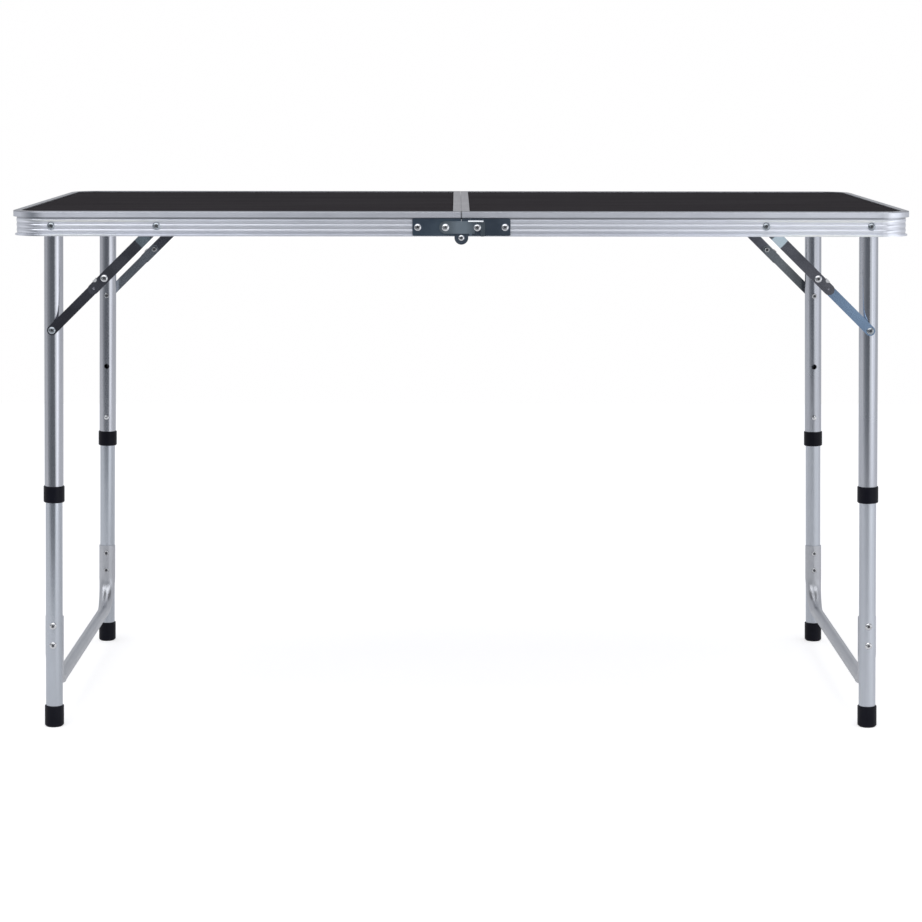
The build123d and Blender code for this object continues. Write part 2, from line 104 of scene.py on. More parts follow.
def blend_colours(tree, factor, dark, light):
    mix = tree.nodes.new("ShaderNodeMix")
    mix.data_type = "RGBA"
    mix.inputs["A"].default_value = (*dark, 1)
    mix.inputs["B"].default_value = (*light, 1)
    tree.links.new(factor, mix.inputs["Factor"])
    return mix.outputs["Result"]


def raise_bump(tree, shader, height, distance, strength=1.0):
    bump = tree.nodes.new("ShaderNodeBump")
    bump.inputs["Distance"].default_value = distance
    bump.inputs["Strength"].default_value = strength
    tree.links.new(height, bump.inputs["Height"])
    tree.links.new(bump.outputs["Normal"], shader.inputs["Normal"])


def combine(tree, operation, first, second):
    """Two numbers brought together by one sum, product or the like."""
    step = tree.nodes.new("ShaderNodeMath")
    step.operation = operation
    tree.links.new(first, step.inputs[0])
    tree.links.new(second, step.inputs[1])
    return step.outputs[0]


def along_axis(tree, axis, mirrored=False):
    """Place along one axis of the table, or the distance from its middle."""
    coords = tree.nodes.new("ShaderNodeTexCoord")
    split = tree.nodes.new("ShaderNodeSeparateXYZ")
    tree.links.new(coords.outputs["Object"], split.inputs["Vector"])
    if not mirrored:
        return split.outputs[axis]
    size = tree.nodes.new("ShaderNodeMath")
    size.operation = "ABSOLUTE"
    tree.links.new(split.outputs[axis], size.inputs[0])
    return size.outputs[0]


def colour_ramp(tree, place, stops):
    """Colour that runs through stops, each a place and its colour."""
    (start, first_colour), (end, last_colour) = stops[0], stops[-1]
    ramp = tree.nodes.new("ShaderNodeValToRGB")
    tree.links.new(spread(tree, place, 0, 1, start, end), ramp.inputs["Fac"])
    marks = ramp.color_ramp.elements
    marks[0].position, marks[0].color = 0.0, first_colour
    marks[1].position, marks[1].color = 1.0, last_colour
    for spot, colour in stops[1:-1]:
        marks.new((spot - start) / (end - start)).color = colour
    return ramp.outputs["Color"]


def shade_along(tree, colour, place, shades):
    """Multiplies a colour by levels given at places along an axis, in metres."""
    greys = [(spot, (level, level, level, 1)) for spot, level in shades]
    mix = tree.nodes.new("ShaderNodeMix")
    mix.data_type = "RGBA"
    mix.blend_type = "MULTIPLY"
    mix.inputs["Factor"].default_value = 1.0
    tree.links.new(colour, mix.inputs["A"])
    tree.links.new(colour_ramp(tree, place, greys), mix.inputs["B"])
    return mix.outputs["Result"]


def drawn_metal(name, dark, light, rough, streaks, streak_depth, is_rim=False, dull_foot=None):
    """Metal with fine drawing lines along its length, cloudy tone and small scuffs; on the rim, painted
    light and shade by height and along its length, and painted shade at the seam.
    """
    material, tree, shader = new_finish(name)
    shader.inputs["Metallic"].default_value = 1.0
    lines = noise(tree, object_coords(tree, streaks), 1.0, 2.0)
    clouds = noise(tree, object_coords(tree, even), cloud_scale, 4.0)
    tone = spread(tree, combine(tree, "MULTIPLY", lines, clouds), 0, 1, *cloud_range)
    colour = blend_colours(tree, tone, dark, light)
    scuffs = noise(tree, object_coords(tree, even), scuff_scale, 3.0, 0.5)
    roughness = spread(tree, scuffs, *rough)
    if is_rim:
        # On the rim: painted light and shade by height, painted shade at the seam, painted light along
        # its length
        from_middle = along_axis(tree, "X", mirrored=True)
        colour = shade_along(tree, colour, along_axis(tree, "Z"), rim_painted_light_by_height)
        colour = shade_along(tree, colour, from_middle, seam_painted_shade)
        colour = shade_along(tree, colour, from_middle, rim_painted_light_along)
        polish = spread(tree, from_middle, 0, -bend_polish, *bend_start)
        roughness = combine(tree, "ADD", roughness, polish)
    if dull_foot:
        bottom, top, extra = dull_foot
        dulling = spread(tree, along_axis(tree, "Z"), extra, 0, bottom, top)
        roughness = combine(tree, "ADD", roughness, dulling)
    tree.links.new(colour, shader.inputs["Base Color"])
    tree.links.new(roughness, shader.inputs["Roughness"])
    raise_bump(tree, shader, lines, streak_depth)
    return material


def swap_colour(tree, factor, first, second):
    mix = tree.nodes.new("ShaderNodeMix")
    mix.data_type = "RGBA"
    tree.links.new(factor, mix.inputs["Factor"])
    tree.links.new(first, mix.inputs["A"])
    tree.links.new(second, mix.inputs["B"])
    return mix.outputs["Result"]


def from_spot(tree, spot, squash=1.0):
    """Distance from a spot that repeats at the four corners of the table; depth counts in part."""
    coords = tree.nodes.new("ShaderNodeTexCoord")
    quarter = tree.nodes.new("ShaderNodeVectorMath")
    quarter.operation = "ABSOLUTE"
    tree.links.new(coords.outputs["Object"], quarter.inputs[0])
    flat = tree.nodes.new("ShaderNodeVectorMath")
    flat.operation = "MULTIPLY"
    flat.inputs[1].default_value = (1, squash, 1)
    tree.links.new(quarter.outputs["Vector"], flat.inputs[0])
    distance = tree.nodes.new("ShaderNodeVectorMath")
    distance.operation = "DISTANCE"
    distance.inputs[1].default_value = (spot[0], spot[1] * squash, spot[2])
    tree.links.new(flat.outputs["Vector"], distance.inputs[0])
    return distance.outputs["Value"]


def plated_steel(name, dark, light, rough, shades=None, is_upper_link=False, rear=None, rear_shades=None):
    """Blue zinc plate: mottled tone, rolling scratches and a soft sheen; may take tones along the table
    and another tone at the rear, and on the upper links a painted reflection on the bent step and a
    painted glint on the stop lugs.
    """
    material, tree, shader = new_finish(name)
    shader.inputs["Metallic"].default_value = 1.0
    mottle = noise(tree, object_coords(tree, even), mottle_scale, 3.0, 0.5)
    scratches = noise(tree, object_coords(tree, even, scratch_turn), scratch_scale, 2.0)
    tone = spread(tree, mottle, 0, 1, *fine_range)
    colour = blend_colours(tree, tone, dark, light)
    if rear:
        at_rear = spread(tree, along_axis(tree, "Y"), 0, 1, *rear_start)
        rear_colour = blend_colours(tree, tone, *rear)
        if rear_shades:
            from_middle = along_axis(tree, "X", mirrored=True)
            rear_colour = shade_along(tree, rear_colour, from_middle, rear_shades)
        colour = swap_colour(tree, at_rear, colour, rear_colour)
    if shades:
        colour = shade_along(tree, colour, along_axis(tree, "X", mirrored=True), shades)
    if is_upper_link:
        # Painted reflection on the bent step of an upper link
        step = from_spot(tree, brace_pivot)
        past = spread(tree, step, 0, 1, *step_start)
        short = spread(tree, step, 1, 0, *step_end)
        on_painted_step = combine(tree, "MULTIPLY", past, short)
        colour = swap_colour(tree, on_painted_step, colour, blend_colours(tree, tone, *step_painted_reflection))
        # Painted glint on the stop lug
        on_lug_glint = spread(tree, from_spot(tree, lug_spot, lug_squash), 1, 0, *lug_edge)
        colour = swap_colour(tree, on_lug_glint, colour, blend_colours(tree, tone, *lug_painted_glint))
        tree.links.new(spread(tree, on_lug_glint, 1.0, glint_metallic, 0, 1), shader.inputs["Metallic"])
    tree.links.new(colour, shader.inputs["Base Color"])
    tree.links.new(spread(tree, mottle, *rough), shader.inputs["Roughness"])
    raise_bump(tree, shader, scratches, scratch_depth)
    return material


def moulded_plastic(name, dark, light, rough):
    """Moulded plastic with a fine spark-eroded grain."""
    material, tree, shader = new_finish(name)
    fine = noise(tree, object_coords(tree, even), grain_scale, 2.0)
    worn = noise(tree, object_coords(tree, even), wear_scale, 5.0, 0.6)
    colour = blend_colours(tree, spread(tree, worn, 0, 1), dark, light)
    tree.links.new(colour, shader.inputs["Base Color"])
    tree.links.new(spread(tree, fine, *rough), shader.inputs["Roughness"])
    shader.inputs["Specular IOR Level"].default_value = plastic_gloss
    raise_bump(tree, shader, fine, grain_depth)
    return material


def laminate(name, dark, light, rough):
    """Black laminate board: fine pebbled skin, faint speckle and wipe marks."""
    material, tree, shader = new_finish(name)
    pebbles = tree.nodes.new("ShaderNodeTexVoronoi")
    pebbles.inputs["Scale"].default_value = pebble_scale
    tree.links.new(object_coords(tree, even), pebbles.inputs["Vector"])
    speckle = noise(tree, object_coords(tree, even), speckle_scale, 3.0)
    wipes = noise(tree, object_coords(tree, wipe_stretch, wipe_turn), wipe_scale, 4.0)
    colour = blend_colours(tree, spread(tree, speckle, 0, 1, *fine_range), dark, light)
    tree.links.new(colour, shader.inputs["Base Color"])
    tree.links.new(spread(tree, wipes, *rough), shader.inputs["Roughness"])
    shader.inputs["Specular IOR Level"].default_value = laminate_gloss
    raise_bump(tree, shader, pebbles.outputs["Distance"], pebble_depth, pebble_strength)
    return material


# Scales of the finishes' patterns, and depths in metres
even = (1, 1, 1)
fine_range = (0.3, 0.72)
cloud_scale = 9.0
cloud_range = (0.12, 0.4)
scuff_scale = 30.0
mottle_scale = 26.0
scratch_scale = 140.0
scratch_turn = (0, 0.79, 0)
scratch_depth = 0.000008
grain_scale = 900.0
grain_depth = 0.00003
wear_scale = 60.0
plastic_gloss = 0.16
pebble_scale = 900.0
pebble_depth = 0.00008
pebble_strength = 0.7
speckle_scale = 420.0
wipe_scale = 1.6
wipe_stretch = (2.0, 9.0, 1.0)
wipe_turn = (0, 0, 0.3)
laminate_gloss = 0.03
# Drawing lines run along the rim, the centre strip, the legs and the crossbars
rim_streaks = (3, 3, 900)
strip_streaks = (900, 6, 900)
leg_streaks = (300, 300, 2)
bar_streaks = (300, 2, 300)
rim_streak_depth = 0.000003
strip_streak_depth = 0.00001
tube_streak_depth = 0.0000005

rim_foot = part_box("left_rim")[0][2]
rim_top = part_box("left_rim")[1][2]
# Painted light and shade on the rim from its foot up: painted highlights on the ribs and the foot,
# painted shade in the troughs, a painted shadow line under the lip, the lip, and painted shade on the
# flange
rim_painted_light_by_height = (
    (rim_foot, 1.12),
    (rim_top - 0.0308, 1.12),
    (rim_top - 0.0292, 0.92),
    (rim_top - 0.0262, 1.1),
    (rim_top - 0.0228, 0.92),
    (rim_top - 0.0195, 1.1),
    (rim_top - 0.0163, 0.93),
    (rim_top - 0.0136, 1.16),
    (rim_top - 0.0112, 1.16),
    (rim_top - 0.0100, 0.66),
    (rim_top - 0.0080, 0.64),
    (rim_top - 0.0074, 0.96),
    (rim_top - 0.0016, 0.96),
    (rim_top - 0.0008, 0.56),
    (rim_top, 0.46),
)
# Painted light along the rim: lighter towards its ends, darker at the middle
rim_painted_light_along = ((0.0, 0.82), (0.2, 0.9), (0.4, 1.06), (0.54, 1.14), (0.6, 1.0))
# Its bent corners are rubbed smoother, from this far out
bend_start = (0.552, 0.568)
bend_polish = 0.24
# Painted shade in the gap where the two halves meet, by distance from the middle
seam_painted_shade = ((0.0, 0.3), (0.0006, 0.4), (0.0013, 1.0))
# The latch is lighter at its middle and darker towards its ends
latch_shades = ((0.0, 1.0), (0.006, 1.0), (0.016, 0.66), (0.024, 0.5))
# Painted shade on the bent step of a hinge leaf
leaf_step_painted_shade = ((0.0098, 1.0), (0.0104, 0.5), (0.0142, 0.5), (0.0148, 1.0))
# The stop lugs of the upper links are bent from the plated strip; their tips get a painted glint of
# light, less metallic steel
lug_spot = (0.4894, 0.288, 0.6154)
lug_squash = 0.45
lug_edge = (0.0029, 0.0037)
glint_metallic = 0.25
lug_painted_glint = ((0.66, 0.67, 0.68), (0.8, 0.81, 0.82))
# Their bent step, at a distance from the pivot on the rim, gets a painted reflection in a lighter blue
brace_pivot = (0.405, 0.292, 0.6875)
step_start = (0.0172, 0.0182)
step_end = (0.0346, 0.0356)
step_painted_reflection = ((0.36, 0.44, 0.49), (0.45, 0.54, 0.6))
# The right upper tubes are rougher towards their lower ends: heights, and the roughness added
upper_tube_foot = (0.33, 0.53, 0.15)
# Rear pieces begin about the middle of the table's depth
rear_start = (-0.01, 0.01)
# The rear right lower link darkens towards its foot
rear_link_shades = ((0.466, 1.0), (0.5, 1.0), (0.522, 0.6), (0.556, 0.4))
finishes = {
    "rim_aluminium": drawn_metal(
        "rim_drawn_aluminium",
        (0.73, 0.75, 0.815),
        (0.8, 0.825, 0.89),
        (0.5, 0.58),
        rim_streaks,
        rim_streak_depth,
        is_rim=True,
    ),
    "strip_aluminium": drawn_metal(
        "strip_brushed_aluminium",
        (0.38, 0.375, 0.39),
        (0.47, 0.465, 0.48),
        (0.42, 0.5),
        strip_streaks,
        strip_streak_depth,
    ),
    "leg_aluminium": drawn_metal(
        "upper_leg_aluminium",
        (0.52, 0.535, 0.58),
        (0.56, 0.576, 0.624),
        (0.19, 0.21),
        leg_streaks,
        tube_streak_depth,
    ),
    "lower_aluminium": drawn_metal(
        "lower_leg_aluminium",
        (0.535, 0.568, 0.622),
        (0.575, 0.61, 0.668),
        (0.23, 0.255),
        leg_streaks,
        tube_streak_depth,
    ),
    "hinge_steel": plated_steel("hinge_zinc", (0.13, 0.175, 0.235), (0.19, 0.245, 0.31), (0.28, 0.36)),
    "latch_steel": plated_steel(
        "latch_zinc", (0.46, 0.55, 0.63), (0.56, 0.66, 0.74), (0.26, 0.34), latch_shades
    ),
    "link_steel": plated_steel(
        "link_zinc", (0.17, 0.173, 0.2), (0.235, 0.24, 0.275), (0.2, 0.28), is_upper_link=True
    ),
    "rivet_steel": plated_steel("rivet_shank", (0.26, 0.265, 0.285), (0.38, 0.385, 0.41), (0.2, 0.28)),
    "pivot_steel": plated_steel("pivot_dull", (0.3, 0.305, 0.325), (0.42, 0.43, 0.46), (0.16, 0.22)),
    "plastic_black": moulded_plastic(
        "cap_black", (0.003, 0.0034, 0.0085), (0.006, 0.0064, 0.0125), (0.36, 0.46)
    ),
    "bush_plastic": moulded_plastic(
        "bush_black", (0.006, 0.006, 0.007), (0.011, 0.011, 0.013), (0.45, 0.6)
    ),
    "spring_steel": plated_steel("spring_bright", (0.4, 0.41, 0.43), (0.54, 0.55, 0.58), (0.18, 0.26)),
    "panel_black": laminate(
        "panel_laminate", (0.0156, 0.0128, 0.0152), (0.0205, 0.0172, 0.02), (0.72, 0.84)
    ),
}

# Pieces with their own copy of a finish: the other tints of the lower links and the right tubes are
# painted reflection; the crossbars are rougher, and the two hinge leaves carry painted shade on their
# step
finishes_with_painted_light = {
    "left_lower_links": plated_steel(
        "left_lower_link_zinc",
        (0.12, 0.12, 0.14),
        (0.17, 0.17, 0.2),
        (0.2, 0.28),
        rear=((0.37, 0.4, 0.44), (0.45, 0.485, 0.53)),
    ),
    "right_lower_links": plated_steel(
        "right_lower_link_zinc",
        (0.27, 0.39, 0.57),
        (0.33, 0.47, 0.67),
        (0.2, 0.28),
        rear=((0.23, 0.255, 0.275), (0.3, 0.325, 0.35)),
        rear_shades=rear_link_shades,
    ),
}
for side in ("left", "right"):
    finishes_with_painted_light[side + "_crossbar"] = drawn_metal(
        side + "_crossbar_aluminium",
        (0.55, 0.565, 0.6),
        (0.6, 0.615, 0.65),
        (0.34, 0.4),
        bar_streaks,
        tube_streak_depth,
    )
for corner in ("right_front", "right_rear"):
    finishes_with_painted_light[corner + "_lower_tube"] = drawn_metal(
        corner + "_lower_aluminium",
        (0.6, 0.632, 0.69),
        (0.645, 0.678, 0.735),
        (0.38, 0.41),
        leg_streaks,
        tube_streak_depth,
    )
    finishes_with_painted_light[corner + "_upper_tube"] = drawn_metal(
        corner + "_upper_aluminium",
        (0.53, 0.55, 0.6),
        (0.57, 0.592, 0.645),
        (0.19, 0.21),
        leg_streaks,
        tube_streak_depth,
        dull_foot=upper_tube_foot,
    )
for corner in ("left_rear", "right_front"):
    finishes_with_painted_light[corner + "_hinge_leaf"] = plated_steel(
        corner + "_leaf_zinc", (0.13, 0.165, 0.215), (0.19, 0.23, 0.285), (0.28, 0.36), leaf_step_painted_shade
    )

for entry in frame["record"]["subparts"]:
    node = nodes[entry["node"]]
    node.data.materials.clear()
    node.data.materials.append(finishes_with_painted_light.get(entry["node"], finishes[entry["material_slot"]]))

cap_steel = plated_steel("rivet_cap_bright", (0.6, 0.61, 0.63), (0.76, 0.77, 0.79), (0.16, 0.22))
# Dark steel in the rivets' holes is painted shade
hole_painted_shade = plated_steel("rivet_hole_painted_shade", (0.09, 0.092, 0.1), (0.17, 0.174, 0.185), (0.4, 0.5))
dull_steel = plated_steel("rivet_cap_dull", (0.34, 0.37, 0.4), (0.46, 0.5, 0.54), (0.2, 0.28))
nose_steel = plated_steel("button_nose_bright", (0.7, 0.71, 0.73), (0.84, 0.85, 0.87), (0.14, 0.2))
lip_steel = plated_steel("latch_lip_light", (0.62, 0.65, 0.68), (0.76, 0.79, 0.82), (0.2, 0.28))
body_of_node = {
    member: body for body, members in frame["record"]["behaviour"]["bodies"].items() for member in members
}


def rivets_of(name):
    """Points of each rivet in one CAD node, rivet by rivet."""
    rivets = []
    for vertex in nodes[name].data.vertices:
        point = vertex.co
        for rivet in rivets:
            near = math.hypot(point.x - rivet[0].x, point.z - rivet[0].z) < rivet_reach
            if near and point.y * rivet[0].y > 0:
                rivet.append(point)
                break
        else:
            rivets.append([point])
    return rivets


def rivet_end(rivet, depth, rise, is_head):
    """Seat, facing and radius of a head, which faces out of the table, or of a tail, which faces in."""
    disc = [point for point in rivet if abs(abs(point.y) - depth) < disc_slack]
    xs = [point.x for point in disc]
    zs = [point.z for point in disc]
    side = math.copysign(1.0, rivet[0].y)
    seat = Vector(((min(xs) + max(xs)) / 2, side * depth, (min(zs) + max(zs)) / 2))
    return seat, side if is_head else -side, (max(xs) - min(xs)) / 2 * cap_cover, rise


def heads_of(name):
    for rivet in rivets_of(name):
        end = max(abs(point.y) for point in rivet)
        yield rivet_end(rivet, end - head_rise, head_rise, True)


def tails_of(name):
    rise = elbow_tail_rise if name.endswith("elbow_tails") else tail_rise
    for rivet in rivets_of(name):
        end = min(abs(point.y) for point in rivet)
        yield rivet_end(rivet, end + rise, rise, False)


def clip_frame(corner):
    """Frame of a spring clip on its tube's axis: Y towards the button, Z up the tube."""
    clip = [vertex.co for vertex in nodes[corner + "_spring_clip"].data.vertices]
    tube_low, tube_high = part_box(corner + "_lower_tube")
    inward = Vector((0, -math.copysign(1.0, tube_low[1]), 0))
    end = max(point.dot(inward) for point in clip)
    disc = [point for point in clip if point.dot(inward) > end - disc_slack]
    xs = [point.x for point in disc]
    zs = [point.z for point in disc]
    depth = (tube_low[1] + tube_high[1]) / 2
    middle = Vector(((min(xs) + max(xs)) / 2, depth, (min(zs) + max(zs)) / 2))
    up = Vector((math.copysign(math.sin(leg_splay), -middle.x), 0, math.cos(leg_splay)))
    turn = Matrix((inward.cross(up), inward, up)).transposed().to_4x4()
    return Matrix.Translation(middle) @ turn, inward


def pick_edges(piece, is_wanted):
    """Leaves only the wanted edges of a piece selected, in edit mode."""
    bpy.ops.mesh.select_mode(type="EDGE")
    bpy.ops.mesh.select_all(action="DESELECT")
    bpy.ops.object.mode_set(mode="OBJECT")
    for edge in piece.data.edges:
        first, second = (piece.data.vertices[index].co for index in edge.vertices)
        edge.select = is_wanted(first, second)
    bpy.ops.object.mode_set(mode="EDIT")


def spring_strip():
    """Bent strip of a spring clip in its own frame: leaf behind the button, bow and far leaf."""
    bpy.ops.object.select_all(action="DESELECT")
    bpy.ops.mesh.primitive_plane_add(size=1.0, rotation=(math.pi / 2, 0, 0))
    strip = bpy.context.object
    bpy.ops.object.transform_apply(location=True, rotation=True, scale=True)
    bpy.ops.object.mode_set(mode="EDIT")
    bpy.ops.mesh.select_all(action="SELECT")
    bpy.ops.transform.resize(value=(strip_width, 1.0, 2 * leaf_half), center_override=(0, 0, 0))
    bpy.ops.transform.translate(value=(0, strip_reach, 0))
    pick_edges(strip, lambda first, second: max(first.z, second.z) < 0)
    to_bow = (0, -strip_reach, leaf_half - strip_arm)
    to_tip = (0, -strip_reach, leaf_half + strip_arm)
    bpy.ops.mesh.extrude_region_move(TRANSFORM_OT_translate={"value": to_bow})
    bpy.ops.mesh.extrude_region_move(TRANSFORM_OT_translate={"value": to_tip})
    pick_edges(strip, lambda first, second: abs(first.z - second.z) < disc_slack and first.z < 0)
    bpy.ops.mesh.bevel(offset=strip_bend, segments=bend_steps, affect="EDGES")
    bpy.ops.object.mode_set(mode="OBJECT")
    thickness = strip.modifiers.new("thickness", "SOLIDIFY")
    thickness.thickness = strip_thickness
    thickness.offset = 0
    bpy.ops.object.modifier_apply(modifier="thickness")
    bpy.ops.object.shade_smooth_by_angle(angle=bent_smooth)
    strip.data.materials.append(finishes["spring_steel"])
    return strip


def fit_clip(strip, button, corner):
    """Bent strip and button put in place of a spring clip, whose CAD piece is hidden; the button is
    attached to the clip.
    """
    clip = corner + "_spring_clip"
    frame_of_clip, inward = clip_frame(corner)
    leaf = bpy.data.objects.new(clip + "_strip", strip.data.copy())
    scene.collection.objects.link(leaf)
    bpy.ops.object.select_all(action="DESELECT")
    leaf.matrix_world = frame_of_clip
    leaf.select_set(True)
    bpy.context.view_layer.objects.active = leaf
    bpy.ops.object.transform_apply(location=True, rotation=True, scale=True)
    middle = frame_of_clip.translation
    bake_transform(leaf)
    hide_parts(clip)
    seat = middle + inward * strip_reach
    seats = [(seat, inward.y, button_radius, button_length)]
    fit_copies(button, seats, clip + "_button", clip)
    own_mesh(bpy.data.objects[clip + "_button"])


def turned_piece(profile):
    """Round piece one wide and one high, drawn up ring by ring along its outline."""
    bpy.ops.object.select_all(action="DESELECT")
    bpy.ops.mesh.primitive_circle_add(vertices=turned_sides, radius=1.0, fill_type="NGON")
    piece = bpy.context.object
    bpy.ops.object.mode_set(mode="EDIT")
    bpy.ops.mesh.select_all(action="SELECT")
    radius, height = 1.0, 0.0
    for next_radius, next_height in profile:
        lift = (0, 0, next_height - height)
        bpy.ops.mesh.extrude_region_move(TRANSFORM_OT_translate={"value": lift})
        share = next_radius / radius
        bpy.ops.transform.resize(value=(share, share, 1.0), center_override=(0, 0, next_height))
        radius, height = next_radius, next_height
    bpy.ops.mesh.select_all(action="SELECT")
    bpy.ops.mesh.normals_make_consistent(inside=False)
    bpy.ops.object.mode_set(mode="OBJECT")
    bpy.ops.object.shade_smooth_by_angle(angle=turned_smooth)
    return piece


def rivet_cap(profile, hole_share, steel):
    """Turned cap of a blind rivet, with painted shade in its hole."""
    cap = turned_piece(profile)
    cap.data.materials.append(steel)
    cap.data.materials.append(hole_painted_shade)
    for face in cap.data.polygons:
        if math.hypot(face.center.x, face.center.y) < hole_share and face.center.z > 0.5:
            face.material_index = 1
    return cap


def fit_copies(pattern, seats, name, body):
    """Copies of a turned piece on their seats, joined into one piece."""
    bpy.ops.object.select_all(action="DESELECT")
    for seat, side, radius, rise in seats:
        copy = bpy.data.objects.new(name + "_copy", pattern.data.copy())
        scene.collection.objects.link(copy)
        turn = Matrix.Rotation(math.radians(-90 * side), 4, "X")
        size = Matrix.Diagonal((radius, radius, rise, 1))
        copy.matrix_world = Matrix.Translation(seat) @ turn @ size
        copy.select_set(True)
        bpy.context.view_layer.objects.active = copy
    if len(bpy.context.selected_objects) > 1:
        bpy.ops.object.join()
    bpy.ops.object.transform_apply(location=True, rotation=True, scale=True)
    piece = bpy.context.object
    piece.name = name
    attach(piece, body)


def thumb_lip(latch):
    """Rolled lip along the lifting tab of a latch, in lighter steel than the latch."""
    low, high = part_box(latch)
    bpy.ops.object.select_all(action="DESELECT")
    bpy.ops.mesh.primitive_cube_add(size=1.0)
    lip = bpy.context.object
    bpy.ops.object.mode_set(mode="EDIT")
    bpy.ops.mesh.select_all(action="SELECT")
    bpy.ops.transform.resize(value=(lip_length, lip_depth, lip_height), center_override=(0, 0, 0))
    place = (lip_middle, low[1] + lip_depth / 2 - lip_proud, high[2] - lip_overlap + lip_height / 2)
    bpy.ops.transform.translate(value=place)
    top, front = place[2] + lip_height * 0.4, place[1] - lip_depth * 0.4
    pick_edges(
        lip, lambda first, second: min(first.z, second.z) > top and max(first.y, second.y) < front
    )
    bpy.ops.mesh.bevel(offset=lip_roll, segments=roll_steps, affect="EDGES")
    bpy.ops.object.mode_set(mode="OBJECT")
    soft_edges = lip.modifiers.new("soft_edges", "BEVEL")
    soft_edges.width = lip_soft_edge
    soft_edges.segments = 2
    soft_edges.limit_method = "ANGLE"
    bpy.ops.object.modifier_apply(modifier="soft_edges")
    bpy.ops.object.shade_smooth_by_angle(angle=bent_smooth)
    lip.data.materials.append(lip_steel)
    return lip


def across_table(piece):
    """Copy of a piece half a turn round, on the other side of the table."""
    copy = bpy.data.objects.new(piece.name + "_copy", piece.data.copy())
    scene.collection.objects.link(copy)
    bpy.ops.object.select_all(action="DESELECT")
    copy.matrix_world = Matrix.Rotation(math.pi, 4, "Z")
    copy.select_set(True)
    bpy.context.view_layer.objects.active = copy
    bpy.ops.object.transform_apply(location=True, rotation=True, scale=True)
    return copy


# Turned pieces: sides, and the angle up to which they shade smooth
turned_sides = 28
turned_smooth = math.radians(50)
bent_smooth = math.radians(40)

# Blind rivets: rises, reach of one rivet's points, and how far a cap covers its CAD end
head_rise = 0.0015
tail_rise = 0.0018
elbow_tail_rise = 0.002
rivet_reach = 0.013
disc_slack = 0.0001
cap_cover = 1.02
# Outlines of head and set tail, as shares of the CAD end's radius and rise, and of their holes
head_hole = 0.36
tail_hole = 0.55
head_profile = (
    (1.0, 0.18),
    (0.94, 0.58),
    (0.82, 0.93),
    (0.66, 1.18),
    (0.5, 1.3),
    (0.42, 1.28),
    (0.37, 1.15),
    (0.35, 1.06),
    (0.24, 1.06),
    (0.22, 1.14),
    (0.1, 1.17),
)
tail_profile = (
    (1.0, 0.5),
    (0.98, 0.84),
    (0.91, 1.0),
    (0.8, 1.08),
    (0.68, 1.09),
    (0.58, 1.06),
    (0.53, 1.02),
    (0.3, 1.02),
    (0.12, 1.02),
)
head_cap = rivet_cap(head_profile, head_hole, cap_steel)
dull_cap = rivet_cap(head_profile, head_hole, dull_steel)
tail_cap = rivet_cap(tail_profile, tail_hole, cap_steel)
dull_rivets = ("brace_rivets", "leg_pivot_rivets", "brace_pivot_rivets")
riveted = ("hinge_rivets", "leg_pivot_rivets", "brace_pivot_rivets", "brace_rivets", "crossbar_rivets")
sides = ("left_", "right_")
headed_nodes = [side + kind for side in sides for kind in riveted + ("elbow_rivets",)]
headed_nodes += ["front_hinge_pin", "rear_hinge_pin"]
tailed_nodes = [side + kind for side in sides for kind in riveted + ("elbow_tails",)]
for node_name in headed_nodes:
    cap = dull_cap if node_name.endswith(dull_rivets) else head_cap
    body = body_of_node[node_name]
    fit_copies(cap, heads_of(node_name), node_name + "_caps", body)
for node_name in tailed_nodes:
    body = body_of_node[node_name]
    fit_copies(tail_cap, tails_of(node_name), node_name + "_rings", body)

# Spring clips: strip, and the outline of the button as shares of its radius and length
leg_splay = math.radians(1.2)
strip_width = 0.007
strip_thickness = 0.0008
strip_reach = 0.0092
strip_arm = 0.045
strip_bend = 0.003
bend_steps = 6
leaf_half = 0.0076
button_radius = 0.00378
button_length = 0.0071
button_profile = (
    (1.0, 0.7),
    (0.98, 0.78),
    (0.9, 0.86),
    (0.76, 0.93),
    (0.55, 0.975),
    (0.3, 0.995),
    (0.1, 1.0),
)
button = turned_piece(button_profile)
button.data.materials.append(nose_steel)
strip = spring_strip()
for corner in ("left_front", "left_rear", "right_front", "right_rear"):
    fit_clip(strip, button, corner)
for pattern in (head_cap, dull_cap, tail_cap, button, strip):
    bpy.data.objects.remove(pattern)

# Lip rolled on the outer edge of a latch's tab
lip_middle = 0.019
lip_length = 0.0206
lip_depth = 0.0027
lip_height = 0.0024
lip_roll = 0.0018
roll_steps = 7
lip_soft_edge = 0.0003
lip_proud = 0.0003
lip_overlap = 0.0011
front_lip = thumb_lip("front_latch")
rear_lip = across_table(front_lip)
for lip, latch in ((front_lip, "front_latch"), (rear_lip, "rear_latch")):
    lip.name = latch + "_lip"
    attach(lip, latch)


def seen_rays(tree, to_camera, to_metal):
    """One strength for rays that the camera sends out, one for reflections, none for the rest."""
    path = tree.nodes.new("ShaderNodeLightPath").outputs
    straight = combine(tree, "MAXIMUM", path["Is Camera Ray"], path["Is Transmission Ray"])
    seen = tree.nodes.new("ShaderNodeMath")
    seen.operation = "MULTIPLY"
    seen.inputs[1].default_value = to_camera
    tree.links.new(straight, seen.inputs[0])
    total = tree.nodes.new("ShaderNodeMath")
    total.operation = "MULTIPLY_ADD"
    total.inputs[1].default_value = to_metal
    tree.links.new(path["Is Glossy Ray"], total.inputs[0])
    tree.links.new(seen.outputs[0], total.inputs[2])
    return total.outputs[0]


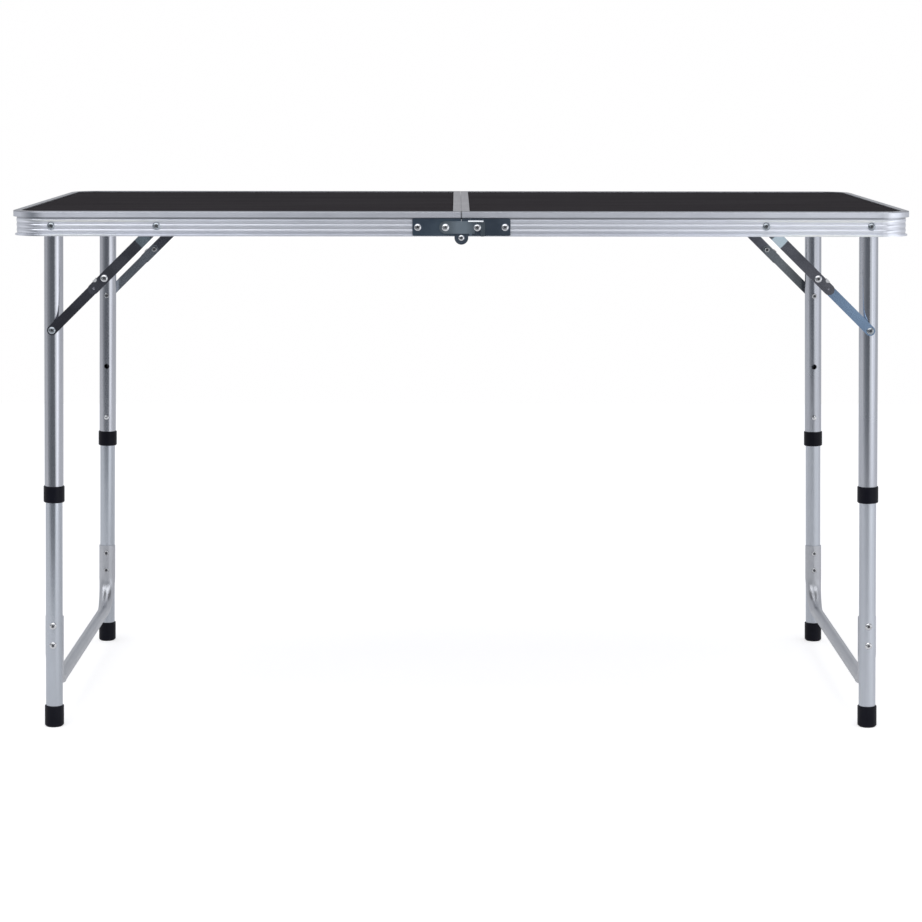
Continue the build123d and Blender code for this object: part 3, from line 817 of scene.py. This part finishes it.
def studio_floor():
    """Pale floor that reads as white and still takes the shadow; it ends short of the camera."""
    bpy.ops.object.select_all(action="DESELECT")
    bpy.ops.mesh.primitive_plane_add(size=1.0)
    floor = bpy.context.object
    floor.name = "studio_floor"
    for corner in floor.data.vertices:
        corner.co = (corner.co.x * floor_width, floor_front if corner.co.y < 0 else floor_back, 0)
    material = bpy.data.materials.new("floor_white")
    material.use_nodes = True
    tree = material.node_tree
    tree.nodes.remove(tree.nodes["Principled BSDF"])
    matte = tree.nodes.new("ShaderNodeBsdfDiffuse")
    matte.inputs["Color"].default_value = floor_colour
    glow = tree.nodes.new("ShaderNodeEmission")
    glow.inputs["Color"].default_value = backdrop_white
    both = tree.nodes.new("ShaderNodeAddShader")
    tree.links.new(seen_rays(tree, floor_to_camera, floor_to_metal), glow.inputs["Strength"])
    tree.links.new(matte.outputs[0], both.inputs[0])
    tree.links.new(glow.outputs[0], both.inputs[1])
    tree.links.new(both.outputs[0], tree.nodes["Material Output"].inputs["Surface"])
    floor.data.materials.append(material)


def studio_world():
    """White backdrop to the camera; to the table, a pale dome over a room, dark behind the camera."""
    world = bpy.data.worlds.new("studio_world")
    scene.world = world
    world.use_nodes = True
    tree = world.node_tree
    tree.nodes.clear()
    coords = tree.nodes.new("ShaderNodeTexCoord")
    split = tree.nodes.new("ShaderNodeSeparateXYZ")
    tree.links.new(coords.outputs["Generated"], split.inputs["Vector"])
    front = tree.nodes.new("ShaderNodeMath")
    front.operation = "MULTIPLY"
    front.inputs[1].default_value = -1.0
    tree.links.new(split.outputs["Y"], front.inputs[0])
    bearing = tree.nodes.new("ShaderNodeMath")
    bearing.operation = "ARCTAN2"
    tree.links.new(split.outputs["X"], bearing.inputs[0])
    tree.links.new(front.outputs[0], bearing.inputs[1])
    stops = [(math.radians(degrees), room_colour(level)) for degrees, level in room_levels]
    walls = colour_ramp(tree, bearing.outputs[0], stops)
    height = spread(tree, split.outputs["Z"], 0, 1, *dome_start)
    blend = tree.nodes.new("ShaderNodeMix")
    blend.data_type = "RGBA"
    tree.links.new(height, blend.inputs["Factor"])
    tree.links.new(walls, blend.inputs["A"])
    blend.inputs["B"].default_value = room_colour(dome_level)
    room = tree.nodes.new("ShaderNodeBackground")
    tree.links.new(blend.outputs["Result"], room.inputs["Color"])
    backdrop = tree.nodes.new("ShaderNodeBackground")
    backdrop.inputs["Color"].default_value = backdrop_white
    path = tree.nodes.new("ShaderNodeLightPath")
    mix = tree.nodes.new("ShaderNodeMixShader")
    tree.links.new(path.outputs["Is Camera Ray"], mix.inputs["Fac"])
    tree.links.new(room.outputs[0], mix.inputs[1])
    tree.links.new(backdrop.outputs[0], mix.inputs[2])
    output = tree.nodes.new("ShaderNodeOutputWorld")
    tree.links.new(mix.outputs[0], output.inputs["Surface"])


def room_colour(level):
    """Slightly cool white, cooler where the room is dark."""
    cool = dark_coolness if level < dark_level else coolness
    return (level * (1 - cool), level, level * (1 + blueness + cool), 1)


def softbox(name, place, aim, size, watts, only_reflected=False):
    """Oblong lamp aimed at a point; one may show in reflections only."""
    lamp = bpy.data.lights.new(name, "AREA")
    lamp.shape = "RECTANGLE"
    lamp.size, lamp.size_y = size
    lamp.energy = watts
    holder = bpy.data.objects.new(name, lamp)
    scene.collection.objects.link(holder)
    holder.location = place
    holder.rotation_euler = (Vector(aim) - Vector(place)).to_track_quat("-Z", "Y").to_euler()
    holder.visible_diffuse = not only_reflected


def photo_camera():
    """Camera at the photo's place and angle."""
    camera = bpy.data.cameras.new("photo_camera")
    camera.sensor_width = camera_sensor
    camera.lens = camera_lens
    camera.clip_end = camera_range
    holder = bpy.data.objects.new("photo_camera", camera)
    scene.collection.objects.link(holder)
    turn = (
        Matrix.Rotation(math.radians(camera_turn), 4, "Z")
        @ Matrix.Rotation(math.radians(90 - camera_dip), 4, "X")
        @ Matrix.Rotation(math.radians(camera_roll), 4, "Z")
    )
    holder.matrix_world = Matrix.Translation(camera_place) @ turn
    scene.camera = holder


# Camera fitted to the photo: lens and sensor in millimetres, angles in degrees
camera_sensor = 36.0
camera_lens = 100.31
camera_range = 60.0
camera_place = (-0.0065, -3.715, 0.8888)
camera_turn = -0.106
camera_dip = 8.59
camera_roll = 0.06

# Floor and backdrop
floor_width = 24.0
floor_front = -1.22
floor_back = 3.2
floor_colour = (0.66, 0.66, 0.665, 1)
floor_to_camera = 0.62
floor_to_metal = 0.23
backdrop_white = (1, 0.997, 1, 1)

# Room and dome that the metal mirrors
dome_level = 0.6
dome_start = (0.12, 0.45)
coolness = 0.015
dark_coolness = 0.06
dark_level = 0.3
blueness = 0.025
# Brightness of the room round the table, by bearing from the camera's side
room_levels = (
    (-180, 0.56),
    (-97, 0.58),
    (-77, 0.48),
    (-62, 0.35),
    (-45, 0.24),
    (-30, 0.17),
    (22, 0.17),
    (45, 0.72),
    (60, 1.16),
    (79, 1.06),
    (95, 0.8),
    (112, 0.6),
    (180, 0.56),
)
studio_floor()
studio_world()
softbox(
    "bright_side",
    place=(1.68, -2.36, 0.0),
    aim=(0.39, -0.83, 0.0),
    size=(1.89, 1.5),
    watts=6.3,
    only_reflected=True,
)
softbox("front_top", place=(-0.5, -2.7, 2.7), aim=(0, -0.3, 0.6), size=(4.4, 2.0), watts=42.0)
softbox("overhead", place=(0, -0.3, 3.2), aim=(0, 0, 0.5), size=(3.2, 2.0), watts=16.0)
photo_camera()
